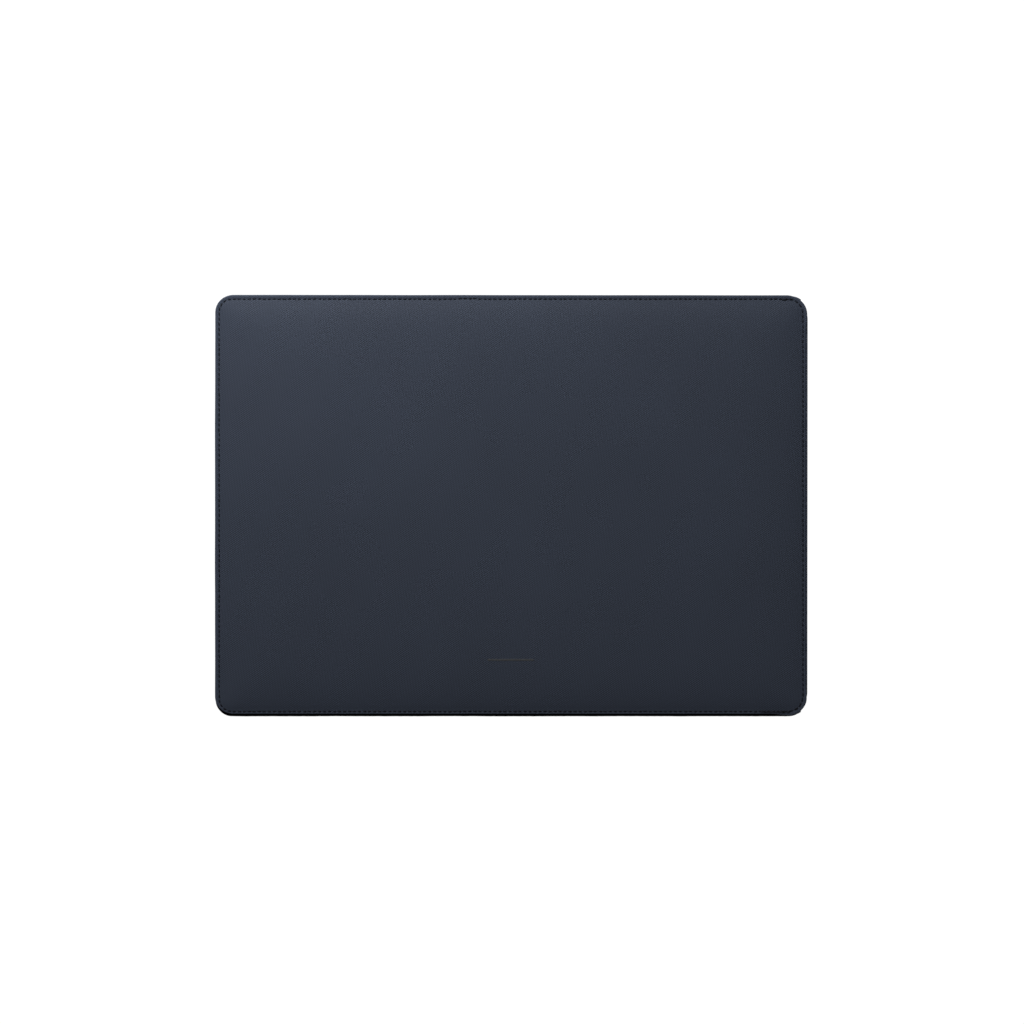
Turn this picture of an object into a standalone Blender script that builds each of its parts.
"""A slim laptop sleeve with a wrap-round closing flap.

It lies on its back: the front panel faces +Z, the long side runs along X, and the
mouth is on the +X short side. The flap hangs from the front panel's mouth edge. Its
spine covers the mouth and its tongue lies in a shallow step under the back.

Lengths are in millimetres here, and MM turns them into metres. A place across the
rim is an inset, the distance inwards from the sleeve's outline, and a profile is a
list of (inset, height) pairs that is carried round the outline.
"""

import math

import bmesh
import bpy

MM = 0.001

# Driving dimensions.
LENGTH = 375.6
WIDTH = 267.0
CORNER = 10.6  # radius of the outline's corners
LAPTOP_LENGTH = 349.3
LAPTOP_WIDTH = 240.7
LAPTOP_THICK = 15.5
SKIN = 0.8  # leatherette
LINING = 0.6  # microfibre
BACK_FOAM = 3.8
GAP = 0.3  # between layers that lie on each other
EASE = 0.65  # round the laptop, each way in the pocket's plane
HEADROOM = 0.5  # above the laptop
WALL_FOAM = 2.1  # padding between the back shell's wall and the pocket
RIM_LIFT = 1.3  # from the front padding's underside up to the rim's top
STITCH_INSET = 2.55
THREAD = 0.25  # half the width of a row of stitches
GROOVE = 0.55  # half the width of the furrow that stitches lie in
CROWN = 2.8  # how far the front panel's middle stands above its rim
# Doubled stitches at the mouth's two ends: name, side of the sleeve, stations along X.
BAR_TACKS = (
    ("bar_tack_upper", 1, (170.8, 177.2)),
    ("bar_tack_lower", -1, (158.0, 175.0)),
)

# Flap.
FLAP_SKIN = 0.7
FLAP_LINING = 0.45
STIFFENER = 1.0
FLAP_LIFT = 0.25  # the tongue's face clears the resting plane
TONGUE_LENGTH = 44.0
TONGUE_WIDTH = 238.0
TONGUE_CORNER = 14.0
TONGUE_SEAM = 3.0  # inset of the tongue's stitches
SPINE_WIDTH = 247.0
MAGNET = (10.0, 20.0, 1.0)
CATCH_PLATE = (14.0, 24.0, 0.5)
MAGNET_X = 160.0
MAGNET_SPACING = 60.0
MAGNETS = 4

# Heights, from the resting plane up.
STEP = FLAP_LIFT + FLAP_SKIN + GAP + STIFFENER + GAP + FLAP_LINING + GAP
FOAM_LOW = SKIN + GAP
FOAM_HIGH = FOAM_LOW + BACK_FOAM
FLOOR_LOW = FOAM_HIGH + GAP
FLOOR = FLOOR_LOW + LINING
CEILING = FLOOR + LAPTOP_THICK + HEADROOM
CEILING_HIGH = CEILING + LINING
FRONT_FOAM_LOW = CEILING_HIGH + GAP
RIM_TOP = FRONT_FOAM_LOW + RIM_LIFT
BAND_HIGH = RIM_TOP - SKIN - GAP
BAND_LOW = BAND_HIGH - 0.8
FLANGE_HIGH = BAND_LOW - GAP
FLANGE_LOW = FLANGE_HIGH - SKIN

# Insets.
POCKET = min(LENGTH - LAPTOP_LENGTH, WIDTH - LAPTOP_WIDTH) / 2 - EASE
LINING_OUT = POCKET - LINING
FOAM_IN = LINING_OUT - GAP
WALL = FOAM_IN - WALL_FOAM - GAP - SKIN  # the back shell's outer face at half height
BAND_IN = 5.0
FRONT_FOAM_IN = 5.4
SMALLEST_CORNER = 1.0
# The front panel's cut edge inside the outline: left, mouth, lower, upper side.
FRONT_EDGE = (0.5, 1.1, 1.4, 0.0)
FRONT_EDGE_INNER = (0.9, 1.5, 1.75, 0.5)

# Stations along X at the mouth.
END = LENGTH / 2
MOUTH = END - 4.0  # where the back shell is cut off
THREAD_END = MOUTH - 8.0  # where the back's stitches stop
BINDING_OUT = MOUTH + GAP + SKIN
SPINE_OUT = END
SPINE_SKIN_IN = END - SKIN
SPINE_BOARD_OUT = SPINE_SKIN_IN - GAP
SPINE_BOARD_IN = SPINE_BOARD_OUT - 0.5
SPINE_LINING_OUT = SPINE_BOARD_IN - GAP
SPINE_LINING_IN = SPINE_LINING_OUT - LINING
ANCHOR_IN = END - 4.8
STEP_X = END - TONGUE_LENGTH - 0.4

# Hinge lines, both along Y.
SPINE_HINGE = (END - SKIN / 2, (BAND_LOW + BAND_HIGH) / 2)
TONGUE_HINGE = (END - 0.9, FLAP_LIFT + 0.9)

ARC_STEPS = 6
OUTLINE = (-LENGTH / 2, LENGTH / 2, -WIDTH / 2, WIDTH / 2)
PAST = 60.0  # how far a shape that is cut off at the mouth runs on past it


def clear_scene():
    for item in list(bpy.data.objects):
        bpy.data.objects.remove(item)


def material(name, colour, roughness, metallic=0.0):
    made = bpy.data.materials.new(name)
    made.use_nodes = True
    shader = made.node_tree.nodes["Principled BSDF"]
    shader.inputs["Base Color"].default_value = (*colour, 1.0)
    shader.inputs["Roughness"].default_value = roughness
    shader.inputs["Metallic"].default_value = metallic
    return made


def concentric(inset):
    """The corner radius of a contour that keeps its distance from the outline."""
    return max(CORNER - inset, SMALLEST_CORNER)


def cushioned(inset):
    """The corner radius over the front cushion, where contours round off inwards."""
    return max(CORNER - inset, 5.2 + 0.35 * (inset - FRONT_FOAM_IN))


def ring(bounds, inset, height, radius):
    """The points of one rounded rectangle, anticlockwise as seen from above."""
    left, right, low, high = inset if isinstance(inset, tuple) else (inset,) * 4
    x0, x1, y0, y1 = bounds
    x0, x1, y0, y1 = x0 + left, x1 - right, y0 + low, y1 - high
    corners = [(x1, y1, -1, -1), (x0, y1, 1, -1), (x0, y0, 1, 1), (x1, y0, -1, 1)]
    radii = radius(sum((left, right, low, high)) / 4)
    radii = radii if isinstance(radii, tuple) else (radii,) * 4
    points = []
    for number, (x, y, to_x, to_y) in enumerate(corners):
        r = radii[number]
        for step in range(ARC_STEPS + 1):
            angle = math.pi / 2 * (number + step / ARC_STEPS)
            px = x + to_x * r + r * math.cos(angle)
            py = y + to_y * r + r * math.sin(angle)
            points.append((px * MM, py * MM, height * MM))
    return points


def link(name, mesh, finish=None):
    made = bpy.data.objects.new(name, mesh)
    if finish:
        mesh.materials.append(finish)
    bpy.context.scene.collection.objects.link(made)
    return made


def loft(name, profile, finish=None, bounds=OUTLINE, radius=concentric, endless=False):
    """Carries a profile round a rounded rectangle.

    A plain profile starts under the middle, runs outwards, up and back inwards, and
    is closed by two flat caps. An endless one is the section of a ring.
    """
    work = bmesh.new()
    rings = []
    for inset, height in profile:
        points = ring(bounds, inset, height, radius)
        rings.append([work.verts.new(p) for p in points])
    pairs = list(zip(rings, rings[1:]))
    if endless:
        pairs.append((rings[-1], rings[0]))
    else:
        work.faces.new(reversed(rings[0]))
        work.faces.new(rings[-1])
    for lower, upper in pairs:
        for i, vertex in enumerate(lower):
            j = (i + 1) % len(lower)
            work.faces.new((vertex, lower[j], upper[j], upper[i]))
    bmesh.ops.recalc_face_normals(work, faces=work.faces)
    mesh = bpy.data.meshes.new(name)
    work.to_mesh(mesh)
    work.free()
    return link(name, mesh, finish)


def block(name, x, y, z, finish=None, edge=0.0):
    """A straight-sided piece between the given limits, its edges eased by edge."""
    work = bmesh.new()
    bmesh.ops.create_cube(work, size=1.0)
    for vertex in work.verts:
        for axis, (low, high) in enumerate((x, y, z)):
            share = vertex.co[axis] + 0.5
            vertex.co[axis] = (low + share * (high - low)) * MM
    if edge:
        bmesh.ops.bevel(
            work, geom=list(work.edges), offset=edge * MM, segments=2, profile=0.5,
            affect="EDGES",
        )
    mesh = bpy.data.meshes.new(name)
    work.to_mesh(mesh)
    work.free()
    return link(name, mesh, finish)


def combine(target, tool, operation="DIFFERENCE"):
    """Cuts target with tool, or keeps what they share. The tool becomes a guide."""
    change = target.modifiers.new(tool.name, "BOOLEAN")
    change.operation = operation
    change.object = tool
    tool.hide_render = True
    tool.display_type = "WIRE"


def offset(profile, distance):
    """The profile moved square to itself, to its inner side."""
    moved = []
    for i, (d, z) in enumerate(profile):
        before = profile[max(i - 1, 0)]
        after = profile[min(i + 1, len(profile) - 1)]
        normals = []
        for start, end in ((before, (d, z)), ((d, z), after)):
            run, rise = end[0] - start[0], end[1] - start[1]
            size = math.hypot(run, rise)
            if size > 1e-9:
                normals.append((rise / size, -run / size))
        nx = sum(n[0] for n in normals) / len(normals)
        nz = sum(n[1] for n in normals) / len(normals)
        square = nx * nx + nz * nz
        moved.append((d + distance * nx / square, z + distance * nz / square))
    return moved


def back_profile():
    """The back shell's outer face, from its flat floor up to the rim's flange."""
    return [
        (WALL + 18.6, 0.0),
        (WALL + 11.6, 0.15),
        (WALL + 7.2, 0.7),
        (WALL + 4.0, 1.8),
        (WALL + 2.0, 3.6),
        (WALL + 0.7, 6.3),
        (WALL, 9.5),
        (WALL - 0.7, 13.0),
        (WALL - 1.7, 16.3),
        (WALL - 2.9, 18.6),
        (WALL - 4.1, 20.1),
        (WALL - 5.0, FLANGE_LOW),
    ]


def tray_bounds():
    """The outline, with its mouth side carried on past the cut."""
    x0, x1, y0, y1 = OUTLINE
    return x0, x1 + PAST, y0, y1


def guide_block(name, x, y=(-WIDTH, WIDTH), z=(-PAST, PAST)):
    return block(name, x, y, z)


def past_mouth():
    return guide_block("guide_past_mouth", (MOUTH, END + 2 * PAST))


def rim_guide(name, inset):
    """A tall plug of the outline, which trims the square ends left at the mouth."""
    return loft(name, [(inset, -PAST), (inset, PAST)])


def make_front(leather, foam, lining):
    depth = 0.5
    top = [
        (STITCH_INSET - GROOVE, 0.0),
        (STITCH_INSET - GROOVE, -depth),
        (STITCH_INSET + GROOVE, -depth),
        (STITCH_INSET + GROOVE, 0.05),
        (FRONT_FOAM_IN, 0.55),
        (9.0, 1.15),
        (14.0, 1.75),
        (22.0, 2.3),
        (34.0, 2.65),
        (50.0, CROWN),
    ]
    under = [(d, z - SKIN) for d, z in reversed(top[4:])]
    skin = [(d, RIM_TOP + z) for d, z in under]
    skin.append((3.6, RIM_TOP - SKIN))
    skin.append((FRONT_EDGE, RIM_TOP - SKIN))
    skin.append((FRONT_EDGE, RIM_TOP - 0.25))
    skin.append((FRONT_EDGE_INNER, RIM_TOP))
    skin += [(d, RIM_TOP + z) for d, z in top]
    loft("front_skin", skin, leather, radius=cushioned)

    pad = [(50.0, FRONT_FOAM_LOW), (FRONT_FOAM_IN, FRONT_FOAM_LOW)]
    pad += [(d, RIM_TOP + z - SKIN - GAP) for d, z in top[4:]]
    loft("front_foam", pad, foam, radius=cushioned)

    edge = BAND_IN + 1.0
    sheet = [(edge, CEILING), (edge, CEILING_HIGH)]
    x0, x1, y0, y1 = OUTLINE
    inner = (x0, ANCHOR_IN - GAP + edge, y0, y1)
    loft("front_lining", sheet, lining, bounds=inner)


def make_rim(band, thread):
    edge = (0.0, 0.0, 0.0, 0.25)
    section = [
        (BAND_IN, BAND_LOW),
        (edge, BAND_LOW),
        (edge, BAND_HIGH),
        (BAND_IN, BAND_HIGH),
    ]
    made = loft("edge_band", section, band, endless=True)
    combine(made, guide_block("guide_band_end", (ANCHOR_IN - GAP, END + PAST)))

    low, high = RIM_TOP - 0.2, RIM_TOP + 0.1
    bead = [
        (STITCH_INSET + THREAD, low),
        (STITCH_INSET - THREAD, low),
        (STITCH_INSET - THREAD, high),
        (STITCH_INSET + THREAD, high),
    ]
    loft("seam_thread_front", bead, thread, endless=True)

    low = FLANGE_LOW - GAP - 0.3
    bead = [(d, low if z < RIM_TOP else low + 0.3) for d, z in bead]
    made = loft("seam_thread_back", bead, thread, endless=True)
    combine(made, guide_block("guide_thread_end", (THREAD_END, END + PAST)))

    near, far = STITCH_INSET - 0.5, STITCH_INSET + 0.5
    low = RIM_TOP + 0.1 + GAP
    for name, side, x in BAR_TACKS:
        y = sorted((side * (WIDTH / 2 - near), side * (WIDTH / 2 - far)))
        block(name, x, y, (low, low + 0.3), thread, edge=0.1)


def make_back(leather, foam, lining, past, plug):
    bounds = tray_bounds()
    outer = back_profile()
    rim = [(0.5, FLANGE_LOW), (0.5, FLANGE_HIGH)]
    skin = loft("back_skin", outer + rim, leather, bounds=bounds)
    hollow = offset(outer, SKIN)[:-1]
    hollow.append((hollow[-1][0], FLANGE_HIGH + PAST))
    cavity = loft("guide_back_cavity", hollow, bounds=bounds)
    shallow = guide_block("guide_step", (STEP_X, END + 2 * PAST), z=(-PAST, STEP))
    over_step = guide_block(
        "guide_over_step", (STEP_X - SKIN, END + 2 * PAST), z=(-PAST, STEP + SKIN)
    )
    combine(cavity, over_step)
    combine(skin, shallow)
    combine(skin, cavity)
    combine(skin, past)
    combine(skin, plug, "INTERSECT")

    top = FLANGE_HIGH - 0.5
    cushion = [p for p in offset(outer, SKIN + GAP) if p[1] < top - 0.5]
    cushion.append((cushion[-1][0], top))
    pad = loft("back_foam", cushion, foam, bounds=bounds)
    inside = [(24.0, FOAM_HIGH), (FOAM_IN, FOAM_HIGH), (FOAM_IN, top + PAST)]
    room = loft("guide_foam_room", inside, bounds=bounds)
    notch = guide_block(
        "guide_foam_notch",
        (STEP_X - SKIN - GAP, END + 2 * PAST),
        z=(-PAST, FOAM_HIGH + 0.1),
    )
    combine(pad, room)
    combine(pad, notch)
    combine(pad, past)

    top = CEILING - GAP
    bag = [(24.0, FLOOR_LOW), (LINING_OUT, FLOOR_LOW), (LINING_OUT, top)]
    bag = loft("back_lining", bag, lining, bounds=bounds)
    pocket = [(24.0, FLOOR), (POCKET, FLOOR), (POCKET, top + PAST)]
    pocket = loft("guide_pocket", pocket, bounds=bounds)
    combine(bag, pocket)
    combine(bag, past)
    return outer, pocket, shallow


def make_binding(leather, outer, pocket, shallow):
    """The strip that closes the back shell's raw edge round the mouth."""
    wall = [p for p in outer if p[1] < FLANGE_LOW - 1.5]
    wall.append((wall[-1][0] + 0.3, FLANGE_LOW - 0.2))
    made = loft("mouth_binding", wall, leather, bounds=tray_bounds())
    slab = guide_block("guide_binding", (MOUTH + GAP, BINDING_OUT))
    combine(made, slab, "INTERSECT")
    combine(made, shallow)
    combine(made, pocket)


def make_spine(leather, lining, board):
    half = SPINE_WIDTH / 2
    anchor = (ANCHOR_IN, END - FRONT_EDGE[1])
    block("flap_anchor", anchor, (-half, half), (BAND_LOW, BAND_HIGH), leather)
    hinge_x, hinge_z = SPINE_HINGE
    lower_x, lower_z = TONGUE_HINGE
    tall = (lower_z + 0.45, hinge_z - 0.3)
    short = (STEP + 0.2, FLANGE_LOW + 0.2)
    outer = (SPINE_SKIN_IN, SPINE_OUT)
    block("spine_skin", outer, (-half, half), tall, leather)
    y = (4.0 - half, half - 4.0)
    block("spine_stiffener", (SPINE_BOARD_IN, SPINE_BOARD_OUT), y, short, board)
    y = (2.5 - half, half - 2.5)
    block("spine_lining", (SPINE_LINING_IN, SPINE_LINING_OUT), y, short, lining)


def tongue_corner(inset):
    tip = max(TONGUE_CORNER - inset, 1.0)
    root = max(1.5 - inset, 0.5)
    return root, tip, tip, root


def make_tongue(leather, lining, board, thread):
    root = TONGUE_HINGE[0] - 0.5
    half = TONGUE_WIDTH / 2
    bounds = (END - TONGUE_LENGTH, root, -half, half)
    low = FLAP_LIFT
    high = low + FLAP_SKIN
    near, far = TONGUE_SEAM - GROOVE, TONGUE_SEAM + GROOVE
    skin = [
        (far, low),
        (far, low + 0.45),
        (near, low + 0.45),
        (near, low),
        (0.25, low),
        (0.0, low + 0.25),
        (0.0, high),
        (far, high),
    ]
    loft("tongue_skin", skin, leather, bounds=bounds, radius=tongue_corner)
    near, far = TONGUE_SEAM - THREAD, TONGUE_SEAM + THREAD
    bead = [
        (far, low),
        (near, low),
        (near, low + 0.15),
        (far, low + 0.15),
    ]
    loft(
        "tongue_thread", bead, thread, bounds=bounds, radius=tongue_corner,
        endless=True,
    )

    low = high + GAP
    high = low + STIFFENER
    sheet = [(4.2, low), (4.2, high)]
    stiff = loft(
        "tongue_stiffener", sheet, board, bounds=bounds, radius=tongue_corner
    )
    sheet = [(0.6, high + GAP), (0.6, high + GAP + FLAP_LINING)]
    loft("tongue_lining", sheet, lining, bounds=bounds, radius=tongue_corner)
    return stiff, low


def spread(centre, size):
    return centre - size / 2, centre + size / 2


def make_magnets(stiff, low, magnet, steel):
    deep, wide, thick = MAGNET
    plate_deep, plate_wide, plate_thick = CATCH_PLATE
    plate_high = FLOOR_LOW - GAP
    for number in range(MAGNETS):
        y = (number - (MAGNETS - 1) / 2) * MAGNET_SPACING
        x = spread(MAGNET_X, deep)
        across = spread(y, wide)
        name = f"magnet_{number + 1}"
        block(name, x, across, (low, low + thick), magnet, edge=0.2)
        pocket = guide_block(
            f"guide_{name}",
            spread(MAGNET_X, deep + 2 * GAP),
            spread(y, wide + 2 * GAP),
        )
        combine(stiff, pocket)
        block(
            f"catch_plate_{number + 1}",
            spread(MAGNET_X, plate_deep),
            spread(y, plate_wide),
            (plate_high - plate_thick, plate_high),
            steel,
        )


def build():
    clear_scene()
    leather = material("leatherette", (0.035, 0.043, 0.06), 0.55)
    fibre = material("microfibre", (0.03, 0.033, 0.04), 0.95)
    band = material("edge_band", (0.004, 0.004, 0.005), 0.8)
    foam = material("foam", (0.08, 0.08, 0.08), 0.95)
    thread = material("thread", (0.01, 0.011, 0.015), 0.7)
    board = material("stiffener_board", (0.25, 0.24, 0.22), 0.8)
    magnet = material("magnet", (0.55, 0.55, 0.56), 0.3, 1.0)
    steel = material("steel", (0.45, 0.45, 0.46), 0.4, 1.0)

    make_front(leather, foam, fibre)
    make_rim(band, thread)
    parts = make_back(leather, foam, fibre, past_mouth(), rim_guide("guide_rim", 0.5))
    make_binding(leather, *parts)
    make_spine(leather, fibre, board)
    stiff, low = make_tongue(leather, fibre, board, thread)
    make_magnets(stiff, low, magnet, steel)


build()
